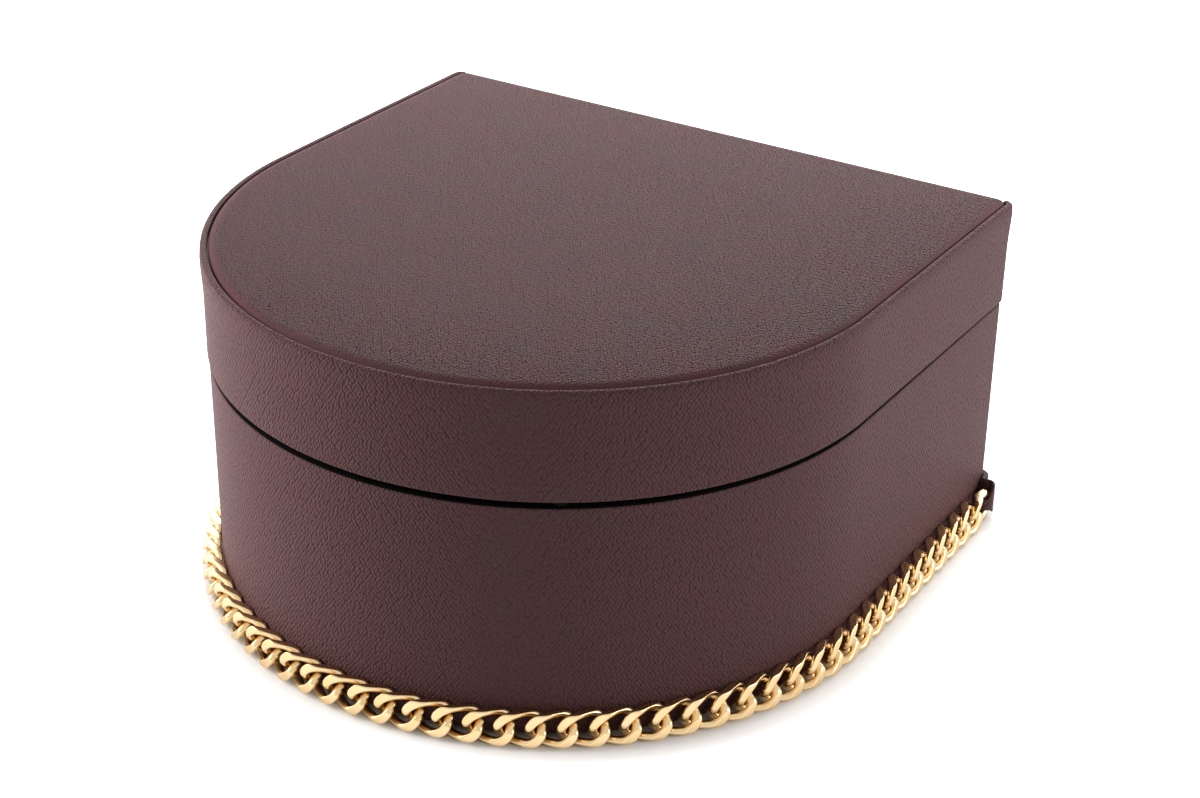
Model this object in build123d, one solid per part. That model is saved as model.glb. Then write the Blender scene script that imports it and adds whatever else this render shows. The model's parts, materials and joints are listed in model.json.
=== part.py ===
from build123d import *
import math
import os

# A leather-covered keepsake box, in millimetres. Seen from above it is D-shaped: a flat
# back, two straight sides and a half-round front. The origin is on the floor under the
# centre of the front's arc, with +X to the right, -Y to the front and +Z up.

# Outline of the lid, and how far the base's wall stands inside it
LID_WIDTH = 260.0
SIDE_LENGTH = 122.0
CORNER_RADIUS = 3.5
BASE_SETBACK = 0.6

# Heights of the base and the lid, and the gaps between their rims
BASE_HEIGHT = 92.0
LID_HEIGHT = 41.5
BACK_GAP = 0.6
FRONT_GAP = 2.5

# Thicknesses of the boards and their covers
WALL_BOARD = 6.0
FLOOR_BOARD = 6.0
TOP_BOARD = 5.0
LEATHER = 1.1
LINING = 1.0
FLOOR_PAD = 4.0
UNDERSIDE_COVER = 1.5
GLUE_LINE = 0.1

# Turned-in edges of the leather, and the underside cover's margin
RIM_ROUND = 1.2
LIP_DEPTH = 12.0
HEM_WIDTH = 16.0
COVER_MARGIN = 5.0

# The lid's rolled rim, and the padded panel inside it
ROLLED_RIM = 2.2
PANEL_GROOVE = 0.5
PAD_BOARD = 0.8
FOAM_EDGE = 1.2
PANEL_CROWN = 1.4
PANEL_REACH = 32.0
PANEL_CORNER = 2.0
CROWN_STEPS = 4

# Stop hinges let into the back rims
HINGE_INSET = 55.0
HINGE_LENGTH = 36.0
LEAF_THICKNESS = 2.6
LEAF_GAP = 0.3
LEAF_MARGIN = 0.6
KNUCKLE_RADIUS = 1.9
KNUCKLE_COUNT = 3
KNUCKLE_PLAY = 0.2
PIN_RADIUS = 0.9
PIN_PLAY = 0.05
STOP_ANGLE = 96.0
RECESS_PLAY = 0.15

# Countersunk hinge screws
SCREW_SPACING = 24.0
SCREW_RADIUS = 1.0
SCREW_HEAD_RADIUS = 1.9
SCREW_HEAD = 1.1
SCREW_LENGTH = 10.0
SCREW_PLAY = 0.1

# Rubber buttons that hold the lid off the front rim
BUMPER_RADIUS = 2.6
BUMPER_ANGLE = 34.0
BUMPER_BEVEL = 0.5
BUMPER_PLAY = 0.05

# Curb chain that lies round the foot of the wall
WIRE = 3.8
LINK_OPENING = 11.4
LINK_PLAY = 0.5
LINK_TWIST = 45.0
LINK_FULLNESS = 2.8
GROUND_OFF = 1.2
LINK_STATIONS = 12
WIRE_SIDES = 6
CHAIN_LEAN = 10.0
CHAIN_LIFT = 0.2
CHAIN_CLEARANCE = 0.3

# Leather tabs that hold the chain's end links at the back corners
TAB_HEIGHT = 15.0
TAB_LENGTH = 26.0
TAB_TONGUE = 2.4
TAB_PLAY = 0.45
TAB_CLEARANCE = 0.2
EYE_BACKSET = 4.5
TAB_SCREW_RADIUS = 1.2
TAB_SCREW_HEAD_RADIUS = 3.2
TAB_SCREW_HEAD = 1.4
TAB_SCREW_LENGTH = 9.0
TAB_SCREW_INSET = 7.0

# Insets from the lid's outline, from the leather's face to the lined inside
LID_BOARD_OUT = LEATHER + GLUE_LINE
LID_BOARD_IN = LID_BOARD_OUT + WALL_BOARD
BASE_BOARD_OUT = BASE_SETBACK + LEATHER + GLUE_LINE
BASE_BOARD_IN = BASE_BOARD_OUT + WALL_BOARD
PANEL_INSET = 2 * LEATHER + PANEL_GROOVE
FOAM_INSET = PANEL_INSET + LEATHER + GLUE_LINE

# Levels, from the floor up, with the lid closed flat on its hinges
BOARD_FOOT = UNDERSIDE_COVER + LEATHER
FLOOR_TOP = BOARD_FOOT + FLOOR_BOARD
BASE_BOARD_TOP = BASE_HEIGHT - LEATHER
BASE_LIP = BASE_HEIGHT - LIP_DEPTH
LID_FOOT = BASE_HEIGHT + BACK_GAP
LID_LIP = LID_FOOT + LIP_DEPTH
LID_TOP = LID_FOOT + LID_HEIGHT
LID_BOARD_TOP = LID_TOP - ROLLED_RIM
CEILING = LID_BOARD_TOP - TOP_BOARD
FOAM_FOOT = LID_BOARD_TOP + PAD_BOARD

# A link's opening is two wires wide. The half sizes are those of the wire's centre line
LINK_HALF_LENGTH = (LINK_OPENING + WIRE) / 2
LINK_HALF_WIDTH = (2 * WIRE + WIRE) / 2
LINK_PITCH = LINK_OPENING - LINK_PLAY

# The hinge line, and how far the lid stands open on its bumpers
AXIS_Y = SIDE_LENGTH + KNUCKLE_RADIUS + RECESS_PLAY
AXIS_Z = BASE_HEIGHT + BACK_GAP / 2
AJAR_SLOPE = (FRONT_GAP - BACK_GAP) / (AXIS_Y + LID_WIDTH / 2)

# The base's face, which the chain and its tabs lie against
BASE_HALF = LID_WIDTH / 2 - BASE_SETBACK
BASE_BACK = SIDE_LENGTH - BASE_SETBACK
BASE_CORNER = CORNER_RADIUS - BASE_SETBACK

DOWN = (Align.CENTER, Align.CENTER, Align.MAX)
UP = (Align.CENTER, Align.CENTER, Align.MIN)


def plan(inset, corner=0.0):
    """The D-shaped outline, set in from the lid's outline."""
    half = LID_WIDTH / 2 - inset
    back = SIDE_LENGTH - inset
    right_side = Line((half, 0), (half, back))
    back_edge = Line((half, back), (-half, back))
    left_side = Line((-half, back), (-half, 0))
    front_arc = ThreePointArc((-half, 0), (0, -half), (half, 0))
    outline = make_face([right_side, back_edge, left_side, front_arc])
    radius = max(corner, CORNER_RADIUS - inset)
    if radius > 0:
        outline = fillet(outline.vertices().group_by(Axis.Y)[-1], radius)
    return outline


def slab(inset, low, high, corner=0.0):
    """A D-shaped plate between two levels."""
    return extrude(Pos(0, 0, low) * plan(inset, corner), high - low)


def layer(outer, inner, low, high):
    """A D-shaped wall between two insets and two levels."""
    return slab(outer, low, high) - slab(inner, low, high)


def walls(board_out, board_in, low, high):
    """A bent board round the sides and the front, and the flat board across their ends."""
    ring = layer(board_out, board_in, low, high)
    joint = Plane((0, SIDE_LENGTH - board_in, 0), z_dir=(0, 1, 0))
    return split(ring, joint, keep=Keep.BOTTOM), split(ring, joint, keep=Keep.TOP)


def base_leather():
    """The base's wrap, turned over the rim, down inside it and under the foot."""
    skin = slab(BASE_SETBACK, UNDERSIDE_COVER, BASE_HEIGHT)
    skin = fillet(skin.edges().group_by(Axis.Z)[-1], RIM_ROUND)
    board_side = BASE_BOARD_IN + GLUE_LINE
    skin -= slab(board_side + LEATHER, BASE_LIP, BASE_HEIGHT)
    skin -= layer(BASE_SETBACK + LEATHER, board_side, BASE_LIP, BASE_BOARD_TOP)
    skin -= slab(BASE_SETBACK + LEATHER, BOARD_FOOT, BASE_LIP)
    return skin - slab(HEM_WIDTH, UNDERSIDE_COVER, BOARD_FOOT)


def lid_leather():
    """The lid's band: a doubled rim round the top panel, and a lip turned in below."""
    band = slab(0, LID_FOOT, LID_TOP)
    levels = band.edges().group_by(Axis.Z)
    band = fillet(levels[0] + levels[-1], RIM_ROUND)
    board_side = LID_BOARD_IN + GLUE_LINE
    band -= slab(2 * LEATHER, LID_BOARD_TOP, LID_TOP)
    band -= slab(LEATHER, LID_LIP, LID_BOARD_TOP)
    band -= layer(LEATHER, board_side, LID_FOOT + LEATHER, LID_LIP)
    return band - slab(board_side + LEATHER, LID_FOOT, LID_LIP)


def floor_pad():
    """The padded floor, with its top edges eased."""
    pad = slab(BASE_BOARD_IN + 2 * GLUE_LINE + LINING, FLOOR_TOP, FLOOR_TOP + FLOOR_PAD)
    return chamfer(pad.edges().group_by(Axis.Z)[-1], FLOOR_PAD / 3)


def crowned(inset, low, edge):
    """A D-shaped cushion whose top swells from its edge in a quarter of an ellipse."""
    sections = [Pos(0, 0, low) * plan(inset, PANEL_CORNER)]
    for step in range(CROWN_STEPS + 1):
        angle = math.radians(90 * step / CROWN_STEPS)
        drawn_in = inset + PANEL_REACH * (1 - math.cos(angle))
        level = edge + PANEL_CROWN * math.sin(angle)
        sections.append(Pos(0, 0, level) * plan(drawn_in, PANEL_CORNER))
    return loft(sections, ruled=True)


def padded_panel():
    """The top panel's foam, and the leather drawn over it and over its board's edge."""
    foam_edge = FOAM_FOOT + FOAM_EDGE
    foam = crowned(FOAM_INSET, FOAM_FOOT, foam_edge)
    cover = crowned(PANEL_INSET, LID_BOARD_TOP, foam_edge + GLUE_LINE + LEATHER)
    return foam, cover - crowned(FOAM_INSET - GLUE_LINE, LID_BOARD_TOP, foam_edge + GLUE_LINE)


def knuckles(radius, first, play):
    """Every other knuckle of a hinge, from the first or the second on."""
    length = HINGE_LENGTH / KNUCKLE_COUNT
    barrels = []
    for number in range(first, KNUCKLE_COUNT, 2):
        middle = (number + 0.5) * length - HINGE_LENGTH / 2
        barrels.append(Pos(middle, 0, 0) * Rot(0, 90, 0) * Cylinder(radius, length + play))
    return barrels


def hinge_leaf(first_knuckle, front_edge):
    """The lower leaf of a stop hinge, with its pin along X through the origin. The heel
    behind the pin is bevelled, and meets the other leaf's heel at the stop angle."""
    face = -LEAF_GAP / 2
    under = face - LEAF_THICKNESS
    slope = math.tan(math.radians(STOP_ANGLE / 2))
    corners = [(front_edge, face), (front_edge, under), (-under / slope, under), (-face / slope, face)]
    leaf = extrude(Plane.YZ * make_face(Polyline(*corners, close=True)), HINGE_LENGTH / 2, both=True)
    leaf -= knuckles(KNUCKLE_RADIUS + KNUCKLE_PLAY, 1 - first_knuckle, KNUCKLE_PLAY)
    leaf += knuckles(KNUCKLE_RADIUS, first_knuckle, -KNUCKLE_PLAY)
    return leaf - Rot(0, 90, 0) * Cylinder(PIN_RADIUS + PIN_PLAY, 2 * HINGE_LENGTH)


def hinge_screw(play=0.0):
    """A countersunk screw that points down, with its head's face at the origin."""
    shank = Cylinder(SCREW_RADIUS + play, SCREW_LENGTH + play, align=DOWN)
    return shank + Cone(SCREW_RADIUS + play, SCREW_HEAD_RADIUS + play, SCREW_HEAD, align=DOWN)


def screw_hole():
    """The countersunk hole for a hinge screw, open through the leaf's face."""
    return hinge_screw(SCREW_PLAY) + Cylinder(SCREW_HEAD_RADIUS + SCREW_PLAY, LEAF_GAP, align=UP)


def tab_screw(play=0.0):
    """A screw that points down, with a low bevelled head that sits at the origin."""
    shank = Cylinder(TAB_SCREW_RADIUS + play, TAB_SCREW_LENGTH + play, align=DOWN)
    head = Cylinder(TAB_SCREW_HEAD_RADIUS, TAB_SCREW_HEAD, align=UP)
    return shank + chamfer(head.edges().group_by(Axis.Z)[-1], TAB_SCREW_HEAD / 2)


def link_corner(turn, side, left_twist, right_twist):
    """A corner of the wire's section, on a link that lies along X and stands upright.
    The link is a full oval, twisted towards its ends."""
    along = math.copysign(abs(math.cos(turn)) ** (2 / LINK_FULLNESS), math.cos(turn))
    across = math.copysign(abs(math.sin(turn)) ** (2 / LINK_FULLNESS), math.sin(turn))
    slope_x = math.copysign(abs(along) ** (LINK_FULLNESS - 1), along) / LINK_HALF_LENGTH
    slope_z = math.copysign(abs(across) ** (LINK_FULLNESS - 1), across) / LINK_HALF_WIDTH
    outward = Vector(slope_x, 0, slope_z).normalized()
    bearing = 2 * math.pi * (side + 0.5) / WIRE_SIDES
    point = Vector(along * LINK_HALF_LENGTH, 0, across * LINK_HALF_WIDTH)
    point += outward * (WIRE / 2 * math.cos(bearing))
    point += Vector(0, WIRE / 2 * math.sin(bearing), 0)
    twist = right_twist if point.X > 0 else left_twist
    return point.rotate(Axis.X, -twist * point.X / LINK_HALF_LENGTH)


def ground(sections):
    """A link's sections, with its two faces and its two edges ground flat."""
    depth = max(abs(point.Y) for section in sections for point in section) - GROUND_OFF
    height = max(abs(point.Z) for section in sections for point in section) - GROUND_OFF
    flat = []
    for section in sections:
        flat.append(
            [
                Vector(point.X, max(-depth, min(depth, point.Y)), max(-height, min(height, point.Z)))
                for point in section
            ]
        )
    return flat


def chain_link(left_twist, right_twist):
    """One closed link, in flat facets round its wire."""
    sections = []
    for station in range(LINK_STATIONS):
        turn = 2 * math.pi * station / LINK_STATIONS
        sections.append([link_corner(turn, side, left_twist, right_twist) for side in range(WIRE_SIDES)])
    sections = ground(sections)
    facets = []
    for station in range(LINK_STATIONS):
        here = sections[station]
        ahead = sections[(station + 1) % LINK_STATIONS]
        for side in range(WIRE_SIDES):
            beside = (side + 1) % WIRE_SIDES
            facets.append(Face(Wire.make_polygon([here[side], ahead[side], ahead[beside]])))
            facets.append(Face(Wire.make_polygon([here[side], ahead[beside], here[beside]])))
    return Solid(Shell(facets))


def chain_place(distance, radius):
    """A place on the chain's run, measured from the middle of the front."""
    angle = max(-90.0, min(90.0, math.degrees(distance / radius)))
    straight = max(0.0, abs(distance) - radius * math.pi / 2)
    turn = math.radians(angle)
    return Pos(radius * math.sin(turn), straight - radius * math.cos(turn), 0) * Rot(0, 0, angle)


def strap_plan(front):
    """A folded strap, seen from above: along the right side, round the corner, on the back."""
    thickness = 2 * LEATHER
    middle_x = BASE_HALF - BASE_CORNER
    middle_y = BASE_BACK - BASE_CORNER
    inside = BASE_CORNER + TAB_CLEARANCE
    bend = Circle(inside + thickness) - Circle(inside)
    bend &= Rectangle(LID_WIDTH, LID_WIDTH, align=Align.MIN)
    side_run = Pos(inside, front - middle_y) * Rectangle(thickness, middle_y - front, align=Align.MIN)
    back_run = Pos(-TAB_LENGTH, inside) * Rectangle(TAB_LENGTH, thickness, align=Align.MIN)
    return Pos(middle_x, middle_y) * (bend + side_run + back_run)


def mirrored(shape):
    """A shape and its mirror image on the other side of the box."""
    return [shape, mirror(shape, Plane.YZ)]


# The chain: links that lean on the wall, each hooked through the next. The end links stand
# upright, and are twisted only at the end that holds the chain
link = Rot(-CHAIN_LEAN, 0, 0) * chain_link(LINK_TWIST, LINK_TWIST)
chain_height = CHAIN_LIFT - link.bounding_box().min.Z
chain_radius = BASE_HALF + link.bounding_box().max.Y + CHAIN_CLEARANCE
quarter_run = chain_radius * math.pi / 2
links_each_way = math.floor((quarter_run + BASE_BACK - EYE_BACKSET - LINK_HALF_LENGTH) / LINK_PITCH)
places = [
    Pos(0, 0, chain_height) * chain_place(number * LINK_PITCH, chain_radius)
    for number in range(-links_each_way, links_each_way + 1)
]
chain_links = [place * link for place in places[1:-1]]
end_links = [places[0] * chain_link(0, LINK_TWIST), places[-1] * chain_link(LINK_TWIST, 0)]

# The right tab: a strap on the back corner, and a narrow tongue through the end link
eye_y = links_each_way * LINK_PITCH + LINK_HALF_LENGTH - quarter_run
eye_hole = WIRE / 2 + TAB_PLAY
strap = strap_plan(eye_y)
eye = Circle(eye_hole + LEATHER)
tongue = strap + Pos(chain_radius, eye_y) * eye - Pos(chain_radius, eye_y) * Circle(eye_hole)
tab = Pos(0, 0, CHAIN_LIFT) * extrude(strap, TAB_HEIGHT)
tab &= Pos(0, eye_y + eye_hole, 0) * Box(LID_WIDTH, LID_WIDTH, LID_WIDTH, align=Align.MIN)
tab += Pos(0, 0, chain_height - TAB_TONGUE / 2) * extrude(tongue, TAB_TONGUE)
tab_screw_place = Pos(
    BASE_HALF - BASE_CORNER - TAB_LENGTH + TAB_SCREW_INSET,
    BASE_BACK + TAB_CLEARANCE + 2 * LEATHER,
    CHAIN_LIFT + TAB_HEIGHT / 2,
) * Rot(-90, 0, 0)
tab_screw_hole = tab_screw_place * tab_screw(SCREW_PLAY)
tab_screw_holes = mirrored(tab_screw_hole)
tabs = mirrored(tab - tab_screw_hole)

# One hinge at the origin: leaves that reach just short of the back boards' inner faces
front_edge = SIDE_LENGTH - BASE_BOARD_IN + LEAF_MARGIN - AXIS_Y
screw_y = SIDE_LENGTH - (BASE_BOARD_OUT + BASE_BOARD_IN) / 2 - AXIS_Y
screw_level = -LEAF_GAP / 2 - SCREW_PLAY
screw_places = [Pos(x, screw_y, screw_level) for x in (-SCREW_SPACING / 2, SCREW_SPACING / 2)]
screws = [place * hinge_screw() for place in screw_places]
screw_holes = [place * screw_hole() for place in screw_places]
over = Rot(0, 180, 0)
base_leaf = hinge_leaf(0, front_edge) - screw_holes
lid_leaf = over * (hinge_leaf(1, front_edge) - screw_holes)
pin = Rot(0, 90, 0) * Cylinder(PIN_RADIUS, HINGE_LENGTH)
recess = Pos(0, front_edge - RECESS_PLAY, 0) * Box(
    HINGE_LENGTH + 2 * RECESS_PLAY,
    -front_edge,
    2 * (LEAF_GAP / 2 + LEAF_THICKNESS + RECESS_PLAY),
    align=(Align.CENTER, Align.MIN, Align.CENTER),
)
hinge_x = LID_WIDTH / 2 - HINGE_INSET
hinge_places = {
    "left": Pos(-hinge_x, AXIS_Y, AXIS_Z),
    "right": Pos(hinge_x, AXIS_Y, AXIS_Z),
}
recesses = [place * recess for place in hinge_places.values()]
base_screws = [place * body for place in hinge_places.values() for body in screws]
base_screw_holes = [place * body for place in hinge_places.values() for body in screw_holes]
lid_screws = [place * over * body for place in hinge_places.values() for body in screws]
lid_screw_holes = [place * over * body for place in hinge_places.values() for body in screw_holes]

# Bumpers that reach up to the lid's tilted rim
rim_inside = BASE_BOARD_IN + GLUE_LINE + LEATHER
rim_middle = LID_WIDTH / 2 - (BASE_SETBACK + rim_inside) / 2
bumper_x = rim_middle * math.sin(math.radians(BUMPER_ANGLE))
bumper_y = -rim_middle * math.cos(math.radians(BUMPER_ANGLE))
bumper_height = BACK_GAP + AJAR_SLOPE * (AXIS_Y - bumper_y - BUMPER_RADIUS) - BUMPER_PLAY
bumper = Cylinder(BUMPER_RADIUS, bumper_height, align=UP)
bumper = Pos(bumper_x, bumper_y, BASE_HEIGHT) * chamfer(bumper.edges().group_by(Axis.Z)[-1], BUMPER_BEVEL)

base_curved_wall, base_back_board = walls(BASE_BOARD_OUT, BASE_BOARD_IN, BOARD_FOOT, BASE_BOARD_TOP)
base_lining_out = BASE_BOARD_IN + GLUE_LINE
base = {
    "base_curved_wall": base_curved_wall,
    "base_back_board": base_back_board - recesses - base_screw_holes - tab_screw_holes,
    "base_floor_board": slab(base_lining_out, BOARD_FOOT, FLOOR_TOP),
    "base_leather": base_leather() - recesses - tab_screw_holes,
    "base_wall_lining": layer(base_lining_out, base_lining_out + LINING, FLOOR_TOP, BASE_LIP),
    "base_floor_pad": floor_pad(),
    "underside_cover": slab(COVER_MARGIN, 0, UNDERSIDE_COVER),
    "rim_bumpers": Compound(children=mirrored(bumper)),
    "chain_links": Compound(children=chain_links),
    "chain_end_links": Compound(children=end_links),
    "chain_tab_right": tabs[0],
    "chain_tab_left": tabs[1],
    "tab_screws": Compound(children=mirrored(tab_screw_place * tab_screw())),
    "hinge_screws_base": Compound(children=base_screws),
}

lid_curved_wall, lid_back_board = walls(LID_BOARD_OUT, LID_BOARD_IN, LID_FOOT + LEATHER, LID_BOARD_TOP)
lid_lining_out = LID_BOARD_IN + GLUE_LINE
lid_pad_foam, lid_pad_leather = padded_panel()
lid = {
    "lid_curved_wall": lid_curved_wall,
    "lid_back_board": lid_back_board - recesses - lid_screw_holes,
    "lid_top_board": slab(lid_lining_out, CEILING, LID_BOARD_TOP),
    "lid_leather": lid_leather() - recesses,
    "lid_pad_board": slab(FOAM_INSET, LID_BOARD_TOP, FOAM_FOOT, PANEL_CORNER),
    "lid_pad_foam": lid_pad_foam,
    "lid_pad_leather": lid_pad_leather,
    "lid_wall_lining": layer(lid_lining_out, lid_lining_out + LINING, LID_LIP, CEILING),
    "lid_ceiling_lining": slab(lid_lining_out + GLUE_LINE + LINING, CEILING - LINING, CEILING),
    "hinge_screws_lid": Compound(children=lid_screws),
}
for side, place in hinge_places.items():
    base["hinge_base_" + side] = place * base_leaf
    base["hinge_pin_" + side] = place * pin
    lid["hinge_lid_" + side] = place * lid_leaf

# The lid is shaped closed, and stands ajar on its bumpers
hinge_line = Pos(0, AXIS_Y, AXIS_Z)
ajar = hinge_line * Rot(-math.degrees(math.atan(AJAR_SLOPE)), 0, 0) * hinge_line.inverse()
os.makedirs("parts", exist_ok=True)
for name, shape in base.items():
    export_step(shape, f"parts/{name}.step")
for name, shape in lid.items():
    export_step(ajar * shape, f"parts/{name}.step")
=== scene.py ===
"""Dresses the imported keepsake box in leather, suede, brass and polished chain."""

import json
import math

import bmesh
import bpy
from mathutils import Matrix, Vector


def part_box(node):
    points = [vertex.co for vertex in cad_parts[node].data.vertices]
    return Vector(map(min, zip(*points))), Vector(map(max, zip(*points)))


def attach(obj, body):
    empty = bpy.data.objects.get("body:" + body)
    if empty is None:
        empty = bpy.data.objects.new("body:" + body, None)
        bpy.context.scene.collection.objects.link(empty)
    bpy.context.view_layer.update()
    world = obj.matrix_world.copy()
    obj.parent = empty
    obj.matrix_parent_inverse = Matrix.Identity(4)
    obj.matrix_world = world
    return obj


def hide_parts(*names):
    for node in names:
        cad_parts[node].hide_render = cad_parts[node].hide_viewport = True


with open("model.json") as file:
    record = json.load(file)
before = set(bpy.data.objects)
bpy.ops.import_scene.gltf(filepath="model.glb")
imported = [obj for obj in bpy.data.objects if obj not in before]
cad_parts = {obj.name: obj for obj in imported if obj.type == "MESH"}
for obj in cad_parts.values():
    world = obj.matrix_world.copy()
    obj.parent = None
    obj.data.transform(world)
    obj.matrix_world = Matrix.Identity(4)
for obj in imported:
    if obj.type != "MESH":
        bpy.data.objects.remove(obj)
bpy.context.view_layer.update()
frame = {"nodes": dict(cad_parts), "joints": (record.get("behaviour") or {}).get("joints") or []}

bl_info = {
    "name": "Keepsake box",
    "version": (1, 0, 0),
    "blender": (4, 5, 0),
    "location": "3D View > Sidebar > Keepsake box",
    "description": "Dresses the packed keepsake box in leather, suede, brass and polished chain",
    "category": "Object",
}

MM = 0.001
WHOLE_TURN = 2 * math.pi
HINGE_LINE = Vector(frame["joints"][0]["pos_m"])
MIRROR = Matrix.Diagonal((-1, 1, 1, 1))

# Steps of the meshes
ARC_STEPS = 96
CORNER_STEPS = 6
CORNER_RUN = 2.0 * MM
RUN_STEPS = 6
ROUND_STEPS = 5
BAR_ROUND_STEPS = 3
ROLL_STEPS = 8
CROWN_STEPS = 12
FLAT_STEPS = 9
WIRE_SIDES = 24
LINK_STATIONS = 56
STRAP_STEPS = 12
STRAP_CORNER_STEPS = 10
LOOP_STEPS = 24
SCREW_SIDES = 32

# Distances below which verts are merged
MERGE = 0.01 * MM
FINE_MERGE = 0.005 * MM
SOLID_MERGE = 0.001 * MM

# Turns, in degrees, from which an edge stays sharp
SHARP = 38.0
CUSHION_SHARP = 50.0
LINK_SHARP = 32.0
METAL_SHARP = 30.0

# Edges of the leather and the lining
# Leather whose second material is black: real edge paint on the tabs, painted shade on the base's rim top and
# in the lid's panel groove.
PAINTED_LEATHER = ("Wall leather", "Edge paint")
FOLD_ROUND = 0.8 * MM
CUT_ROUND = 0.4 * MM
PAINT_MARGIN = 0.3 * MM
PAINT_DROP = 0.5 * MM
GROOVE_LEDGE = 0.15 * MM
BACK_LEDGE = 0.08 * MM
NOTCH_PLAY = 0.15 * MM
NOTCH_BEHIND = 4 * MM

# The swell under the lid's rim: share of the bulge, and millimetres below the rim
LID_SWELL = ((0, 18), (0.15, 14), (0.5, 10), (0.85, 6.5), (1, 3.5))

# The panel's drawn edge, whose grain is flat and then comes up, and its run over the back rim
GRAIN_FLAT = 0.84 * MM
GRAIN_WHOLE = 3.64 * MM
BACK_DRAW = 25 * MM
BACK_MARGIN = 0.4 * MM

# The ring of wire that a link is drawn from, and where its slit is
LINK_RING = 6.0 * MM
LINK_SLIT_AT = math.radians(12)

# The tabs that hold the chain's ends
TAB_LENGTH = 26 * MM
TAB_HEIGHT = 15 * MM
TAB_LIFT = 0.2 * MM
TAB_CLEARANCE = 0.2 * MM
TAB_ROUND = 0.5 * MM
TAB_EYE = 2.35 * MM
TAB_TONGUE = 5.2 * MM
TAB_SHOULDER = 1.2 * MM
TAB_SHOULDER_GAP = 0.3 * MM
TAB_OVERLAP = 1.0 * MM
LOOP_ROUND = 0.3 * MM
LOOP_FOOT = 2.2 * MM

# How far a tab's face looks up or down where it is a cut edge
TAB_CUT = 0.6

# Bearings, in degrees, between which the loop's edges leave the tongue's and return to them
LOOP_TOP_OPENS = (-45, 0)
LOOP_FOOT_OPENS = (-15, 15)
LOOP_CLOSES = (120, 165)

# The tabs' stitches and screws
STITCHES = 7
STITCH_PITCH = 2.9 * MM
STITCH_START = 2.2 * MM
STITCH_MARGIN = 2.0 * MM
STITCH_SIZE = (1.0 * MM, 0.28 * MM, 0.3 * MM)
STITCH_SLANT = math.radians(9)
SCREW_INSET = 7.0 * MM
SCREW_OUTLINE = ((0, -0.2), (3.2, -0.2), (3.2, 0.35), (2.75, 0.9), (1.8, 1.25), (0.9, 1.38), (0, 1.4))
SLOT_SIZE = (8 * MM, 1.4 * MM, 0.8 * MM)
SLOT_LEVEL = 1.4 * MM
SLOT_TURN = math.radians(24)

# Solids that keep their shape: the copied ones by body, and the boards
BRASS_SOLIDS = {
    "base": ("hinge_base_left", "hinge_base_right", "hinge_pin_left", "hinge_pin_right", "hinge_screws_base"),
    "lid": ("hinge_lid_left", "hinge_lid_right", "hinge_screws_lid"),
}
BOARDS = (
    "base_back_board",
    "base_curved_wall",
    "base_floor_board",
    "lid_back_board",
    "lid_curved_wall",
    "lid_pad_board",
    "lid_top_board",
)

# The stage
WHITE = (1, 1, 1, 1)
FLOOR_REACH = 4.0
FLOOR_DROP = 0.05 * MM
LIT_POINT = Vector((0, 0, 60 * MM))


def length(label, description, millimetres):
    """A length that a user may change."""
    return bpy.props.FloatProperty(
        name=label, description=description, default=millimetres * MM, min=0.0, precision=5, unit="LENGTH"
    )


def angle(label, description, degrees):
    """An angle that a user may change."""
    return bpy.props.FloatProperty(
        name=label, description=description, default=math.radians(degrees), unit="ROTATION"
    )


def amount(label, description, default):
    """A plain number that a user may change."""
    return bpy.props.FloatProperty(name=label, description=description, default=default, min=0.0)


def colour(label, description, default):
    """A colour that a user may change."""
    return bpy.props.FloatVectorProperty(
        name=label, description=description, default=default, size=3, min=0.0, max=1.0, subtype="COLOR"
    )


class BoxSizes(bpy.types.PropertyGroup):
    """Sizes of the box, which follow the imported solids."""

    lid_width: length("Lid width", "Width of the lid's outline", 260)
    side_length: length("Side length", "From the front arc's centre to the back of the lid", 122)
    corner: length("Back corners", "Radius of the lid's back corners", 3.5)
    setback: length("Base setback", "How far the base's wall stands inside the lid's", 0.6)
    leather: length("Leather", "Thickness of the leather", 1.1)
    lining: length("Lining", "Thickness of the suede lining", 1.0)
    board: length("Wall board", "Thickness of the wall boards", 6.0)
    glue: length("Glue line", "Gap that the glue takes", 0.1)
    lip: length("Lip", "Depth of the leather that is turned in at the rims", 12)
    hem: length("Hem", "Reach of the leather turned under the foot", 16)
    rim_round: length("Rim rounding", "Radius of the folded leather edges", 1.2)
    base_foot: length("Base foot", "Level of the leather's foot", 1.5)
    base_top: length("Base top", "Level of the base's rim", 92)
    floor_top: length("Floor top", "Level of the floor board's top", 8.6)
    lid_foot: length("Lid foot", "Level of the closed lid's rim", 92.6)
    lid_top: length("Lid top", "Level of the closed lid's rolled rim", 134.1)
    bulge: length("Rim bulge", "How far the leather swells out under the lid's rolled rim", 0.6)
    panel_foot: length("Panel foot", "Level that the padded panel sits on", 131.9)
    panel_groove: length("Panel groove", "Gap between the rolled rim and the panel", 0.5)
    panel_corner: length("Panel corners", "Radius of the panel's back corners", 4.0)
    panel_edge: length("Panel edge", "Height of the panel's drawn edge", 2.9)
    panel_crown: length("Panel crown", "Swell of the panel above its edge", 2.2)
    ceiling: length("Ceiling", "Level of the lid's inside", 126.9)
    ajar: angle("Ajar", "How far the lid stands open on its bumpers", 0.4285)


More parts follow.
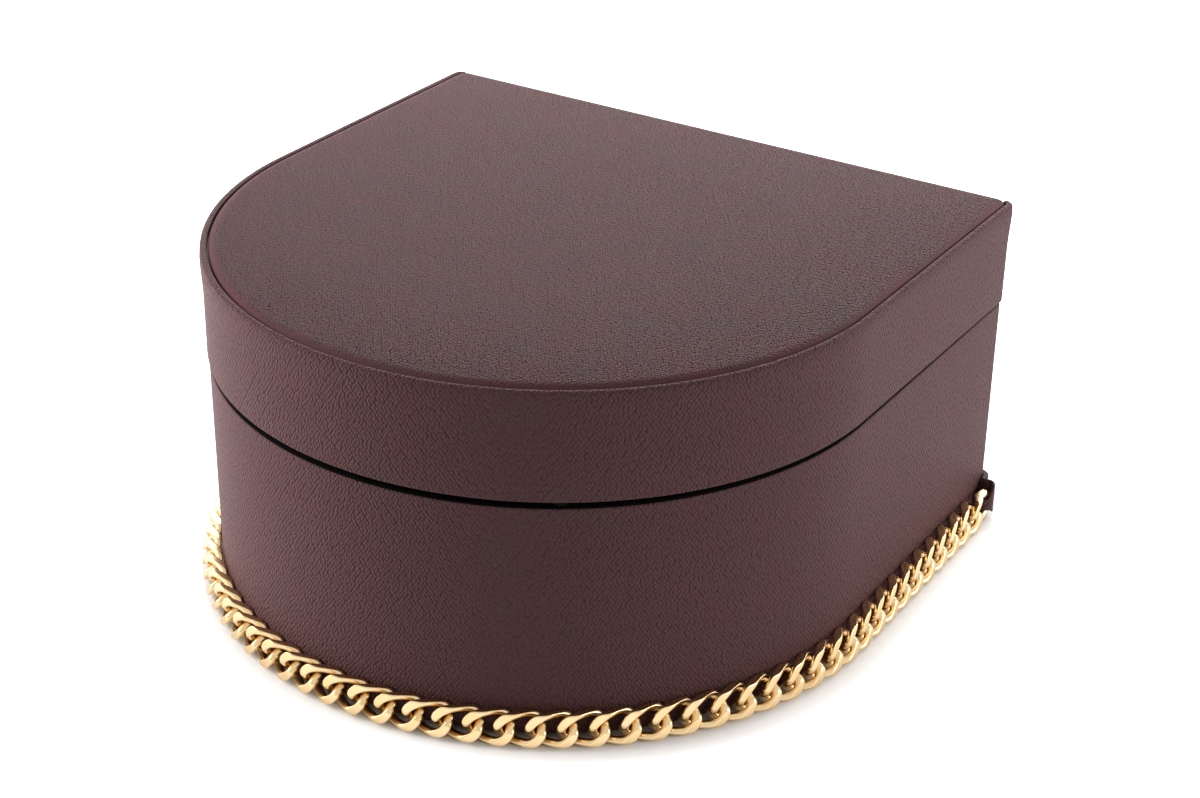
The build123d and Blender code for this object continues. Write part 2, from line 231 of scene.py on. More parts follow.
class ChainSizes(bpy.types.PropertyGroup):
    """Sizes of the curb chain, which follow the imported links."""

    wire: length("Wire", "Diameter of the links' wire", 3.8)
    half_length: length("Half length", "Half the length of a link's centre line", 7.6)
    half_width: length("Half width", "Half the width of a link's centre line", 5.7)
    pitch: length("Pitch", "Distance from link to link", 10.9)
    face: length("Ground faces", "From a link's middle to its ground faces", 3.04)
    edge: length("Ground edges", "From a link's middle to its ground edges", 6.14)
    polish: length("Polish", "How far the edges of the ground flats are rounded", 0.6)
    slit: length("Slit", "Gap between the ends of a link's wire", 0.12)
    fullness: amount("Fullness", "How square the links' outline is", 2.8)
    twist: angle("Twist", "Turn of a link's ends against its middle", 45)
    lean: angle("Lean", "How far the links lean on the wall", 10)
    radius: length("Run radius", "Radius of the chain's run round the front", 133.607)
    level: length("Run level", "Level of the links' middle", 6.705)
    each_way: bpy.props.IntProperty(
        name="Links each way", description="Links on each side of the middle one", default=29, min=1
    )


class BoxFinish(bpy.types.PropertyGroup):
    """Colours and grain of the materials."""

    leather: colour("Leather", "Colour of the leather", (0.121, 0.057, 0.060))
    # Painted light: the panel is the same leather as the walls, made redder with less green and blue to
    # cancel the grey sheen that the lamps give the top.
    panel: colour("Panel", "Colour of the padded panel's leather", (0.137, 0.054, 0.058))
    leather_grey: colour("Leather, grey", "Colour of the leather's greyer patches", (0.112, 0.059, 0.061))
    # Painted shade: the colour that the pits between the pebbles are darkened towards, for the shade that
    # falls in them.
    pit_shade: colour("Pit shade colour", "Colour between the pebbles of the grain", (0.035, 0.016, 0.018))
    # Black of the tabs' real edge paint, also used as painted shade on the base's rim top and in the groove
    # round the lid's panel.
    edge_paint: colour("Edge paint", "Colour of the leather's painted edges", (0.012, 0.010, 0.010))
    thread: colour("Thread", "Colour of the stitches", (0.05, 0.026, 0.028))
    suede: colour("Suede", "Colour of the lining", (0.30, 0.22, 0.19))
    gold: colour("Gold", "Colour of the chain", (0.77, 0.575, 0.33))
    brass: colour("Brass", "Colour of the hinges", (0.72, 0.52, 0.25))
    plywood: colour("Plywood", "Colour of the boards", (0.62, 0.46, 0.30))
    rubber: colour("Rubber", "Colour of the bumpers", (0.004, 0.004, 0.004))
    cloth: colour("Cloth", "Colour of the underside's cloth", (0.05, 0.04, 0.04))
    pebble_width: length("Pebble width", "Width of the leather's pebbles", 1.62)
    pebble_height: length("Pebble height", "Height of the leather's pebbles", 2.2)
    panel_pebbles: amount("Panel pebbles", "Size of the panel's pebbles against the walls'", 0.72)
    wall_relief: length("Wall relief", "Depth of the wall leather's grain", 0.45)
    panel_relief: length("Panel relief", "Depth of the padded panel's grain", 1.05)
    # Painted shade: how far the pits of the walls' and the panel's grain are darkened.
    wall_pit_shade: amount("Wall pit shade", "How dark the pits of the wall leather's grain are", 0.2)
    panel_pit_shade: amount("Panel pit shade", "How dark the pits of the panel's grain are", 0.55)


class StudioSettings(bpy.types.PropertyGroup):
    """Camera and lamps."""

    azimuth: angle("Azimuth", "Camera's turn to the right of the front", 31.791)
    elevation: angle("Elevation", "Camera's height above the horizon", 27.925)
    roll: angle("Roll", "Camera's tilt", 0.817)
    distance: length("Distance", "From the camera to its target", 919.18)
    target: bpy.props.FloatVectorProperty(
        name="Target",
        description="Place that the camera faces",
        default=(9.776 * MM, 16.897 * MM, 60 * MM),
        size=3,
        precision=5,
        subtype="TRANSLATION",
    )
    lens: amount("Lens", "Focal length for a 36 mm sensor, in millimetres", 71.139)
    floor: colour("Floor", "Colour of the floor", (0.93, 0.93, 0.93))
    floor_lift: amount("Floor lift", "White that the camera sees on the floor beyond the lamps' light", 0.85)
    lift_from: length("Lift from", "Where the floor's white begins, from the box's middle", 134)
    lift_full: length("Lift full", "Where the floor's white is full, from the box's middle", 152)
    back_light: amount("Back light", "Power of the low lamp behind, in watts", 1.5)
    top_light: amount("Top light", "Power of the lamp above the back, in watts", 2.7)
    left_light: amount("Left light", "Power of the left lamp, in watts", 6.0)
    left_fill: amount("Left fill", "Power of the left lamp's part that metal doesn't mirror, in watts", 20.0)
    right_light: amount("Right light", "Power of the right lamp, in watts", 7.3)
    ambient: amount("Ambient", "Strength of the surrounding light", 0.21)


def sizes():
    return bpy.context.scene.keepsake_sizes


def chain_sizes():
    return bpy.context.scene.keepsake_chain


def finish():
    return bpy.context.scene.keepsake_finish


# Mesh helpers


def held(value, low=0.0, high=1.0):
    """A value held inside its limits."""
    return max(low, min(high, value))


def newest(made):
    """The verts among an operator's results, and the edges between them."""
    verts = {item for item in made if isinstance(item, bmesh.types.BMVert)}
    edges = [item for item in made if isinstance(item, bmesh.types.BMEdge)]
    return verts, [edge for edge in edges if verts.issuperset(edge.verts)]


def soften(bm, sharp=SHARP):
    """Smooth faces, with the edges that turn further than an angle kept sharp."""
    limit = math.radians(sharp)
    for face in bm.faces:
        face.smooth = True
    for edge in bm.edges:
        edge.smooth = len(edge.link_faces) == 2 and edge.calc_face_angle(0.0) < limit


def mesh_from(bm, name):
    """A mesh made from a bmesh, which is used up."""
    mesh = bpy.data.meshes.new(name)
    bm.to_mesh(mesh)
    bm.free()
    return mesh


def placed(name, data):
    """A new object in the scene."""
    made = bpy.data.objects.new(name, data)
    bpy.context.scene.collection.objects.link(made)
    return made


def piece_from(bm, name, body, materials, nodes):
    """A finished piece that rides on its body and stands for its solids."""
    piece = placed(name, mesh_from(bm, name))
    for material in materials:
        piece.data.materials.append(material_named(material))
    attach(piece, body)
    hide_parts(*nodes)
    return piece


def set_ajar(bm):
    """Turns a closed lid's piece about the hinge line to where the lid rests."""
    turned = Matrix.Rotation(-sizes().ajar, 3, "X")
    bmesh.ops.rotate(bm, verts=bm.verts, cent=HINGE_LINE, matrix=turned)


def round_corners(bm, verts, radius, steps):
    """Rounds corners of a flat face."""
    bmesh.ops.bevel(
        bm,
        geom=verts,
        offset=radius,
        offset_type="OFFSET",
        segments=steps,
        profile=0.5,
        affect="VERTICES",
        clamp_overlap=True,
        material=-1,
    )


def closed_section(bm, corners):
    """A closed section at the middle of the back, from corners of inset, level and rounding."""
    back = sizes().side_length
    verts = [bm.verts.new((0, back - inset, level)) for inset, level, _ in corners]
    bm.faces.new(verts)
    for vert, (_, _, rounding) in zip(verts, corners):
        if rounding > 0:
            round_corners(bm, [vert], rounding, ROUND_STEPS)
    bmesh.ops.delete(bm, geom=list(bm.faces), context="FACES_ONLY")
    return list(bm.edges)


def open_section(bm, points):
    """An open section at the middle of the back, through points of inset and level."""
    back = sizes().side_length
    verts = [bm.verts.new((0, back - inset, level)) for inset, level in points]
    return [bm.edges.new(pair) for pair in zip(verts, verts[1:])]


def run(bm, edges, offset, steps=RUN_STEPS):
    """Draws a section out in a straight line."""
    step = Vector(offset) / steps
    for _ in range(steps):
        verts, edges = newest(bmesh.ops.extrude_edge_only(bm, edges=edges)["geom"])
        bmesh.ops.translate(bm, verts=list(verts), vec=step)
    return edges


def turn(bm, edges, centre, sweep, steps, axis=(0, 0, -1)):
    """Draws a section round an axis, or clockwise from above where none is given."""
    verts = list({vert for edge in edges for vert in edge.verts})
    made = bmesh.ops.spin(
        bm,
        geom=verts + edges,
        cent=centre,
        axis=axis,
        angle=sweep,
        steps=steps,
        use_merge=sweep == WHOLE_TURN,
        use_duplicate=False,
    )
    return newest(made["geom_last"])[1]


def carry_round(bm, edges, corner=None):
    """Carries a section round the D-shaped plan, with its inner corners mitred."""
    size = sizes()
    half = size.lid_width / 2
    back = size.side_length
    corner = corner or size.corner
    inset = bm.verts.layers.float.new("inset")
    for vert in bm.verts:
        vert[inset] = back - vert.co.y
    edges = run(bm, edges, (half - corner - CORNER_RUN, 0, 0))
    edges = run(bm, edges, (CORNER_RUN, 0, 0), 1)
    edges = turn(bm, edges, (half - corner, back - corner, 0), math.pi / 2, CORNER_STEPS)
    edges = run(bm, edges, (0, corner - back, 0))
    edges = turn(bm, edges, (0, 0, 0), math.pi, ARC_STEPS)
    edges = run(bm, edges, (0, back - corner, 0))
    edges = turn(bm, edges, (corner - half, back - corner, 0), math.pi / 2, CORNER_STEPS)
    edges = run(bm, edges, (CORNER_RUN, 0, 0), 1)
    run(bm, edges, (half - corner - CORNER_RUN, 0, 0))
    for vert in bm.verts:
        depth = vert[inset]
        if depth > corner:
            vert.co.x = held(vert.co.x, depth - half, half - depth)
            vert.co.y = min(back - depth, vert.co.y)
    bmesh.ops.remove_doubles(bm, verts=bm.verts, dist=MERGE)


def close_shell(bm):
    """Fills the open ends of a shell and points its faces outwards."""
    open_edges = [edge for edge in bm.edges if edge.is_boundary]
    if open_edges:
        bmesh.ops.holes_fill(bm, edges=open_edges, sides=0)
    bmesh.ops.recalc_face_normals(bm, faces=bm.faces)


def shell_of(corners):
    """A shell whose closed section goes round the plan."""
    bm = bmesh.new()
    carry_round(bm, closed_section(bm, corners))
    close_shell(bm)
    return bm


def cushion_of(points, corner=None):
    """A cushion whose open section goes round the plan."""
    bm = bmesh.new()
    carry_round(bm, open_section(bm, points), corner)
    close_shell(bm)
    return bm


def cushion_section(inset, low, edge, roll, rise, crown, reach, deepest):
    """Half a cushion's section: up its side, over a rolled edge and in along its crown."""
    points = [(inset + 0.2 * roll, low), (inset, low + 0.5 * (edge - rise))]
    for step in range(ROLL_STEPS + 1):
        bearing = math.pi / 2 * step / ROLL_STEPS
        points.append((inset + roll * (1 - math.cos(bearing)), low + edge - rise * (1 - math.sin(bearing))))
    drawn_in = points[-1][0]
    for step in range(1, CROWN_STEPS + 1):
        share = (step / CROWN_STEPS) ** 1.5
        points.append((drawn_in + reach * share, low + edge + crown * (1 - (1 - share) ** 2.5)))
    drawn_in = points[-1][0]
    for step in range(1, FLAT_STEPS + 1):
        points.append((drawn_in + (deepest - drawn_in) * step / FLAT_STEPS, low + edge + crown))
    return points


def block(bm, size, centre):
    """Adds an upright block."""
    verts = bmesh.ops.create_cube(bm, size=1.0)["verts"]
    bmesh.ops.scale(bm, verts=verts, vec=size)
    bmesh.ops.translate(bm, verts=verts, vec=centre)


def cut_away(bm, cutter):
    """A mesh less another. Both are closed, and both are used up."""
    whole = placed("whole", mesh_from(bm, "whole"))
    tool = placed("cutter", mesh_from(cutter, "cutter"))
    cut = whole.modifiers.new("cut", "BOOLEAN")
    cut.operation = "DIFFERENCE"
    cut.solver = "EXACT"
    cut.object = tool
    evaluated = whole.evaluated_get(bpy.context.evaluated_depsgraph_get())
    result = bmesh.new()
    result.from_mesh(evaluated.to_mesh())
    evaluated.to_mesh_clear()
    for item in (whole, tool):
        mesh = item.data
        bpy.data.objects.remove(item)
        bpy.data.meshes.remove(mesh)
    return result


def hinge_notches():
    """Boxes that clear the hinges' leaves in the back rims."""
    bm = bmesh.new()
    for leaf in ("hinge_base_left", "hinge_base_right"):
        low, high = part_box(leaf)
        front = low.y - NOTCH_PLAY
        width = high.x - low.x + 2 * NOTCH_PLAY
        depth = HINGE_LINE.y - front + NOTCH_BEHIND
        height = 2 * (HINGE_LINE.z - low.z + NOTCH_PLAY)
        block(bm, (width, depth, height), ((low.x + high.x) / 2, front + depth / 2, HINGE_LINE.z))
    return bm


def on_plan(x, y, side):
    """Where a place lies on the plan: its way round from the front, and its depth inside the outline."""
    size = sizes()
    half = size.lid_width / 2
    if y < 0:
        return half * math.atan2(x, -y), half - math.hypot(x, y)
    if size.side_length - y < half - abs(x):
        return side * (half * (math.pi / 2 + 1) - abs(x) + size.side_length), size.side_length - y
    return side * (half * math.pi / 2 + y), half - abs(x)


def lay_grain(bm, flat=False):
    """Lays the leather's grain out: round the walls and up them, or flat over a panel."""
    layer = bm.loops.layers.uv.new("grain")
    for face in bm.faces:
        side = math.copysign(1.0, face.calc_center_median().x)
        for loop in face.loops:
            x, y, z = loop.vert.co
            around, depth = on_plan(x, y, side)
            loop[layer].uv = (x + z, y - z) if flat else (around, z + depth)


def paint_shade_black(bm, low, high, nearest, furthest):
    """Gives the second material, black paint that stands for shade, to the faces between two levels and two
    depths inside the outline.
    """
    for face in bm.faces:
        x, y, z = face.calc_center_median()
        if low < z < high and nearest < on_plan(x, y, 1.0)[1] < furthest:
            face.material_index = 1


def polished_copy(solid, body, material):
    """A smooth-shaded copy of a rigid solid."""
    bm = bmesh.new()
    bm.from_mesh(frame["nodes"][solid].data)
    bmesh.ops.remove_doubles(bm, verts=bm.verts, dist=SOLID_MERGE)
    soften(bm, METAL_SHARP)
    return piece_from(bm, solid + "_finished", body, [material], [solid])


def add_copy(bm, mesh, place):
    """Adds a placed copy of a mesh."""
    count = len(bm.verts)
    bm.from_mesh(mesh)
    bm.verts.ensure_lookup_table()
    bmesh.ops.transform(bm, matrix=place, verts=bm.verts[count:])


# Shader helpers


def node(tree, kind, inputs=None, **settings):
    """A shader node with its settings and inputs, which may be values or sockets."""
    made = tree.nodes.new("ShaderNode" + kind)
    for name, value in settings.items():
        setattr(made, name, value)
    for name, value in (inputs or {}).items():
        if isinstance(value, bpy.types.NodeSocket):
            tree.links.new(value, made.inputs[name])
        else:
            made.inputs[name].default_value = value
    return made


def mix_colour(tree, factor, first, second):
    """The mix of two colours, which may be values or sockets."""
    inputs = {0: factor}
    for place, value in ((6, first), (7, second)):
        inputs[place] = value if isinstance(value, bpy.types.NodeSocket) else (*value, 1.0)
    return node(tree, "Mix", inputs, data_type="RGBA").outputs[2]


def maths(tree, operation, first, second=0.0):
    """The result of a sum on values or sockets."""
    return node(tree, "Math", {0: first, 1: second}, operation=operation).outputs[0]


def vector_maths(tree, operation, first, second):
    """The result of a sum on vectors, which may be values or sockets."""
    return node(tree, "VectorMath", {0: first, 1: second}, operation=operation).outputs["Vector"]


def ranged(tree, value, low, high, new_low=0.0, new_high=1.0):
    """A value moved from one range to another, and held inside it."""
    inputs = {"Value": value, "From Min": low, "From Max": high, "To Min": new_low, "To Max": new_high}
    return node(tree, "MapRange", inputs).outputs["Result"]


def noise(tree, where, scale, detail, distortion=0.0):
    """A cloudy value."""
    inputs = {"Vector": where, "Scale": scale, "Detail": detail, "Distortion": distortion}
    return node(tree, "TexNoise", inputs).outputs["Fac"]


def stretched(tree, where, scale):
    """Places stretched along the axes."""
    return node(tree, "Mapping", {"Vector": where, "Scale": scale}).outputs["Vector"]


def object_space(tree):
    """Places on the object, in its own coordinates."""
    return node(tree, "TexCoord").outputs["Object"]


def shaded(tree, value, low, high, tint, fade):
    """A colour that goes to a darker shade of itself where a value is low."""
    dark = tuple(part * share for part, share in zip(tint, fade))
    return mix_colour(tree, ranged(tree, value, low, high), dark, tint)


def seen_rays(tree):
    """One for rays that the camera sees, straight, mirrored or let through, and nought for the rest."""
    rays = node(tree, "LightPath").outputs
    bent = maths(tree, "MAXIMUM", rays["Is Glossy Ray"], rays["Is Transmission Ray"])
    return maths(tree, "MAXIMUM", bent, rays["Is Camera Ray"])


def new_material(name, constants=None):
    """A material with an empty node tree and its shader."""
    material = bpy.data.materials.new(name)
    material.use_nodes = True
    tree = material.node_tree
    tree.nodes.clear()
    shader = node(tree, "BsdfPrincipled", constants)
    node(tree, "OutputMaterial", {"Surface": shader.outputs["BSDF"]})
    return material, tree, shader


def set_surface(tree, shader, face, roughness, height, strength, relief):
    """Gives a shader its colour, its roughness and its relief."""
    inputs = {"Height": height, "Strength": strength, "Distance": relief}
    tree.links.new(face, shader.inputs["Base Color"])
    tree.links.new(roughness, shader.inputs["Roughness"])
    tree.links.new(node(tree, "Bump", inputs).outputs["Normal"], shader.inputs["Normal"])


# Materials


def pebble_grain():
    """Staggered pebbles of an embossed leather: their height, a mask of the pits between them for painted
    shade, and patches.
    """
    if "Pebble grain" in bpy.data.node_groups:
        return bpy.data.node_groups["Pebble grain"]
    group = bpy.data.node_groups.new("Pebble grain", "ShaderNodeTree")
    for label, kind in (("Vector", "Vector"), ("Pebble width", "Float"), ("Pebble height", "Float")):
        group.interface.new_socket(label, in_out="INPUT", socket_type="NodeSocket" + kind)
    for label in ("Height", "Pit shade", "Patch"):
        group.interface.new_socket(label, in_out="OUTPUT", socket_type="NodeSocketFloat")
    given = group.nodes.new("NodeGroupInput").outputs
    result = group.nodes.new("NodeGroupOutput").inputs
    where = given["Vector"]
    sides = {"X": given["Pebble width"], "Y": given["Pebble height"], "Z": 1.0}
    pebble = node(group, "CombineXYZ", sides).outputs["Vector"]
    counted = vector_maths(group, "DIVIDE", where, pebble)
    wobble = node(group, "TexNoise", {"Vector": counted, "Scale": 0.35, "Detail": 1.0})
    drift = vector_maths(group, "MULTIPLY", wobble.outputs["Color"], (0.7, 0.7, 0.0))
    staggered = node(
        group,
        "Mapping",
        {
            "Vector": vector_maths(group, "ADD", counted, drift),
            "Rotation": (0, 0, math.pi / 4),
            "Scale": (math.sqrt(2), math.sqrt(2), 1),
        },
    ).outputs["Vector"]
    cells = node(
        group,
        "TexVoronoi",
        {"Vector": staggered, "Scale": 1.0, "Smoothness": 0.4, "Randomness": 0.5},
        voronoi_dimensions="2D",
        feature="SMOOTH_F1",
    ).outputs["Distance"]
    fall = maths(group, "MULTIPLY", maths(group, "MULTIPLY", cells, cells), 1.9)
    fine = maths(group, "MULTIPLY", noise(group, counted, 4.0, 2.0), 0.12)
    height = maths(group, "ADD", maths(group, "SUBTRACT", 1.0, fall), fine)
    group.links.new(height, result["Height"])
    group.links.new(ranged(group, cells, 0.2, 0.62), result["Pit shade"])
    group.links.new(ranged(group, noise(group, where, 60.0, 2.0), 0.3, 0.7), result["Patch"])
    return group


def leather_material(name, tint, pebbles, relief, pit_shading):
    """Pebble-grained leather with a satin face, smooth where it is drawn over an edge."""
    look = finish()
    material, tree, shader = new_material(name, {"Specular IOR Level": 0.04})
    inputs = {
        "Vector": node(tree, "UVMap", uv_map="grain").outputs["UV"],
        "Pebble width": pebbles * look.pebble_width,
        "Pebble height": pebbles * look.pebble_height,
    }
    grain = node(tree, "Group", inputs, node_tree=pebble_grain()).outputs
    drawn = node(tree, "Attribute", attribute_name="drawn").outputs["Fac"]
    # Painted shade: the pits between the pebbles are darkened towards the pit colour, less where the leather
    # is drawn smooth over an edge.
    pit_shade = maths(tree, "MULTIPLY", grain["Pit shade"], ranged(tree, drawn, 0.0, 1.0, pit_shading, 0.0))
    height = maths(tree, "MULTIPLY", grain["Height"], ranged(tree, drawn, 0.0, 1.0, 1.0, 0.05))
    face = mix_colour(tree, pit_shade, mix_colour(tree, grain["Patch"], tint, look.leather_grey), look.pit_shade)
    roughness = ranged(tree, grain["Height"], 0.2, 1.0, 0.65, 0.45)
    set_surface(tree, shader, face, roughness, height, 1.0, relief)
    return material


def edge_paint_and_shade_material(name):
    """Black paint on the tabs' cut edges, also used as painted shade on the base's rim top and in the groove
    round the lid's panel.
    """
    material, tree, shader = new_material(name, {"Specular IOR Level": 0.1})
    lumps = noise(tree, object_space(tree), 700.0, 3.0)
    face = shaded(tree, lumps, 0.0, 1.0, finish().edge_paint, (0.6, 0.6, 0.6))
    set_surface(tree, shader, face, ranged(tree, lumps, 0.3, 0.7, 0.3, 0.45), lumps, 0.3, 0.1 * MM)
    return material


def suede_material(name):
    """Short-nap suede, brushed a little unevenly."""
    sheen = {"Sheen Weight": 0.35, "Sheen Roughness": 0.45, "Specular IOR Level": 0.2}
    material, tree, shader = new_material(name, sheen)
    where = object_space(tree)
    nap = noise(tree, where, 2600.0, 3.0)
    brushed = noise(tree, where, 28.0, 4.0, 1.2)
    tone = maths(tree, "ADD", maths(tree, "MULTIPLY", nap, 0.55), maths(tree, "MULTIPLY", brushed, 0.45))
    face = shaded(tree, tone, 0.35, 0.65, finish().suede, (0.62, 0.62, 0.62))
    set_surface(tree, shader, face, ranged(tree, nap, 0.3, 0.7, 0.98, 0.86), nap, 0.5, 0.15 * MM)
    return material


def metal_material(name, tint, smooth, rough, scratches):
    """Polished or satin metal with faint scratches."""
    material, tree, shader = new_material(name, {"Metallic": 1.0})
    where = object_space(tree)
    scratch = noise(tree, stretched(tree, where, (1.0, 1.0, 6.0)), scratches, 4.0)
    cloud = noise(tree, where, 160.0, 2.0)
    face = shaded(tree, cloud, 0.35, 0.65, tint, (0.97, 0.92, 0.82))
    set_surface(tree, shader, face, ranged(tree, scratch, 0.35, 0.7, smooth, rough), scratch, 0.06, 0.05 * MM)
    return material


def plywood_material(name):
    """Sanded plywood, with its plies across the thickness."""
    material, tree, shader = new_material(name)
    figure = noise(tree, stretched(tree, object_space(tree), (30.0, 30.0, 260.0)), 1.0, 6.0, 0.8)
    face = shaded(tree, figure, 0.3, 0.7, finish().plywood, (0.55, 0.55, 0.55))
    set_surface(tree, shader, face, ranged(tree, figure, 0.3, 0.7, 0.78, 0.6), figure, 0.2, 0.1 * MM)
    return material


def speckled_material(name, tint, scale, relief, smooth, rough):
    """A matt material with a fine pitted or woven speckle."""
    material, tree, shader = new_material(name, {"Specular IOR Level": 0.1})
    inputs = {"Vector": object_space(tree), "Scale": scale}
    speckle = node(tree, "TexVoronoi", inputs).outputs["Distance"]
    face = shaded(tree, speckle, 0.1, 0.7, tint, (0.6, 0.6, 0.6))
    set_surface(tree, shader, face, ranged(tree, speckle, 0.1, 0.7, smooth, rough), speckle, 0.5, relief)
    return material


def material_named(name):
    """The material of a name, which is made where it isn't there yet."""
    look = finish()
    walls = (look.leather, 1.0, look.wall_relief, look.wall_pit_shade)
    # Painted light: the panel's redder colour cancels the lamps' grey sheen on the top, and its pits get
    # stronger painted shade.
    panel = (look.panel, look.panel_pebbles, look.panel_relief, look.panel_pit_shade)
    recipes = {
        "Wall leather": (leather_material, *walls),
        "Panel leather": (leather_material, *panel),
        "Edge paint": (edge_paint_and_shade_material,),
        "Thread": (speckled_material, look.thread, 4000.0, 0.05 * MM, 0.6, 0.8),
        "Suede": (suede_material,),
        "Gold": (metal_material, look.gold, 0.16, 0.27, 900.0),
        "Brass": (metal_material, look.brass, 0.24, 0.42, 1500.0),
        "Rubber": (speckled_material, look.rubber, 3000.0, 0.05 * MM, 0.6, 0.85),
        "Plywood": (plywood_material,),
        "Underside cloth": (speckled_material, look.cloth, 1400.0, 0.12 * MM, 0.85, 0.95),
    }
    make, *values = recipes[name]
    return bpy.data.materials.get(name) or make(name, *values)


# Pieces


def wall_depth():
    """From the outside of a leather-covered wall to the inside of its board."""
    size = sizes()
    return size.leather + size.board + 2 * size.glue


class WrapBase(bpy.types.Operator):
    """Wraps the base in leather, turned in at the rim and under the foot"""

    bl_idname = "keepsake.wrap_base"
    bl_label = "Wrap the base"

    def execute(self, context):
        size = sizes()
        leather = size.leather
        outer = size.setback
        inner = outer + wall_depth()
        foot, top = size.base_foot, size.base_top
        corners = [
            (outer, foot, FOLD_ROUND),
            (outer, top, FOLD_ROUND),
            (inner + leather, top, size.rim_round),
            (inner + leather, top - size.lip, CUT_ROUND),
            (inner, top - size.lip, 0),
            (inner, top - leather, 0),
            (outer + leather, top - leather, 0),
            (outer + leather, foot + leather, 0),
            (size.hem, foot + leather, 0),
            (size.hem, foot, 0),
        ]
        bm = cut_away(shell_of(corners), hinge_notches())
        lay_grain(bm)
        # Painted shade: the base's rim top is painted black, standing for the deep shade in the gap under the
        # lid.
        paint_shade_black(bm, top - PAINT_MARGIN, top + leather, outer + PAINT_MARGIN, inner)
        soften(bm)
        piece_from(bm, "base_leather_wrap", "base", PAINTED_LEATHER, ["base_leather"])
        return {"FINISHED"}


class WrapLid(bpy.types.Operator):
    """Wraps the lid's wall in leather, with a rolled rim round the panel and a turned-in lip"""

    bl_idname = "keepsake.wrap_lid"
    bl_label = "Wrap the lid"

    def execute(self, context):
        size = sizes()
        leather = size.leather
        rim = 2 * leather
        inner = wall_depth()
        foot, ledge, top = size.lid_foot, size.panel_foot, size.lid_top
        corners = [
            (0, foot, size.rim_round),
            *((-size.bulge * swell, top - drop * MM, 0) for swell, drop in LID_SWELL),
            (-0.5 * size.bulge, top, size.rim_round),
            (rim, top, FOLD_ROUND),
            (rim, ledge + GROOVE_LEDGE, 0),
            (rim + leather, ledge + GROOVE_LEDGE, 0),
            (rim + leather, ledge, 0),
            (leather, ledge, 0),
            (leather, foot + leather, 0),
            (inner, foot + leather, 0),
            (inner, foot + size.lip, 0),
            (inner + leather, foot + size.lip, CUT_ROUND),
            (inner + leather, foot, size.rim_round),
        ]
        bm = cut_away(shell_of(corners), hinge_notches())
        lay_grain(bm)
        # Painted shade: the inside of the rolled rim and the ledge under the panel are painted black,
        # standing for the shade deep in the groove.
        paint_shade_black(bm, ledge, top - PAINT_DROP, rim - PAINT_MARGIN, inner)
        self.lower_back(bm, inner)
        set_ajar(bm)
        soften(bm)
        piece_from(bm, "lid_leather_wrap", "lid", PAINTED_LEATHER, ["lid_leather"])
        return {"FINISHED"}

    def lower_back(self, bm, depth):
        """Lowers the rim along the back, where the panel's leather runs over it."""
        size = sizes()
        reach = size.lid_width / 2 - size.corner - CORNER_RUN / 2
        for vert in bm.verts:
            if size.side_length - vert.co.y < depth and abs(vert.co.x) < reach:
                vert.co.z = min(vert.co.z, size.panel_foot + BACK_LEDGE)


class PadLid(bpy.types.Operator):
    """Draws leather over the lid's foam panel"""

    bl_idname = "keepsake.pad_lid"
    bl_label = "Pad the lid"

    def execute(self, context):
        size = sizes()
        inset = 2 * size.leather + size.panel_groove
        points = cushion_section(
            inset,
            low=size.panel_foot,
            edge=size.panel_edge,
            roll=3.4 * MM,
            rise=2.0 * MM,
            crown=size.panel_crown,
            reach=60 * MM,
            deepest=112 * MM,
        )
        bm = cushion_of(points, inset + size.panel_corner)
        drawn = bm.verts.layers.float.new("drawn")
        for vert in bm.verts:
            depth = on_plan(vert.co.x, vert.co.y, 1.0)[1] - inset
            vert[drawn] = held((GRAIN_WHOLE - depth) / (GRAIN_WHOLE - GRAIN_FLAT))
            share = max(0.0, 1.0 - (size.side_length - inset - vert.co.y) / BACK_DRAW)
            vert.co.y += (inset - BACK_MARGIN) * share**2 * (3 - 2 * share)
        lay_grain(bm, flat=True)
        set_ajar(bm)
        soften(bm, CUSHION_SHARP)
        replaced = ["lid_pad_leather", "lid_pad_foam"]
        panel = piece_from(bm, "lid_padded_panel", "lid", ["Panel leather"], replaced)
        return {"FINISHED"}


class LineInside(bpy.types.Operator):
    """Lines the walls and the lid's ceiling with suede"""

    bl_idname = "keepsake.line_inside"
    bl_label = "Line the inside"

    def execute(self, context):
        size = sizes()
        for body, outside, low, high in (
            ("base", size.setback + wall_depth(), size.floor_top, size.base_top - size.lip),
            ("lid", wall_depth(), size.lid_foot + size.lip, size.ceiling),
        ):
            inside = outside + size.lining
            bm = shell_of(
                [(outside, low, 0), (outside, high, 0), (inside, high, CUT_ROUND), (inside, low, CUT_ROUND)]
            )
            if body == "lid":
                set_ajar(bm)
            soften(bm)
            piece_from(bm, body + "_suede_walls", body, ["Suede"], [body + "_wall_lining"])
        points = cushion_section(
            wall_depth() + size.glue + size.lining,
            low=0,
            edge=size.lining,
            roll=0.5 * MM,
            rise=0.5 * MM,
            crown=0,
            reach=20 * MM,
            deepest=110 * MM,
        )
        bm = cushion_of([(across, size.ceiling - depth) for across, depth in points])
        set_ajar(bm)
        soften(bm)
        piece_from(bm, "lid_suede_ceiling", "lid", ["Suede"], ["lid_ceiling_lining"])
        return {"FINISHED"}


class PadFloor(bpy.types.Operator):
    """Lays the padded suede floor in the base"""

    bl_idname = "keepsake.pad_floor"
    bl_label = "Pad the floor"

    def execute(self, context):
        size = sizes()
        points = cushion_section(
            size.setback + wall_depth() + size.glue + size.lining,
            low=size.floor_top,
            edge=3.4 * MM,
            roll=1.8 * MM,
            rise=1.8 * MM,
            crown=0.6 * MM,
            reach=30 * MM,
            deepest=108 * MM,
        )
        bm = cushion_of(points)
        soften(bm, CUSHION_SHARP)
        pad = piece_from(bm, "base_suede_floor", "base", ["Suede"], ["base_floor_pad"])
        return {"FINISHED"}


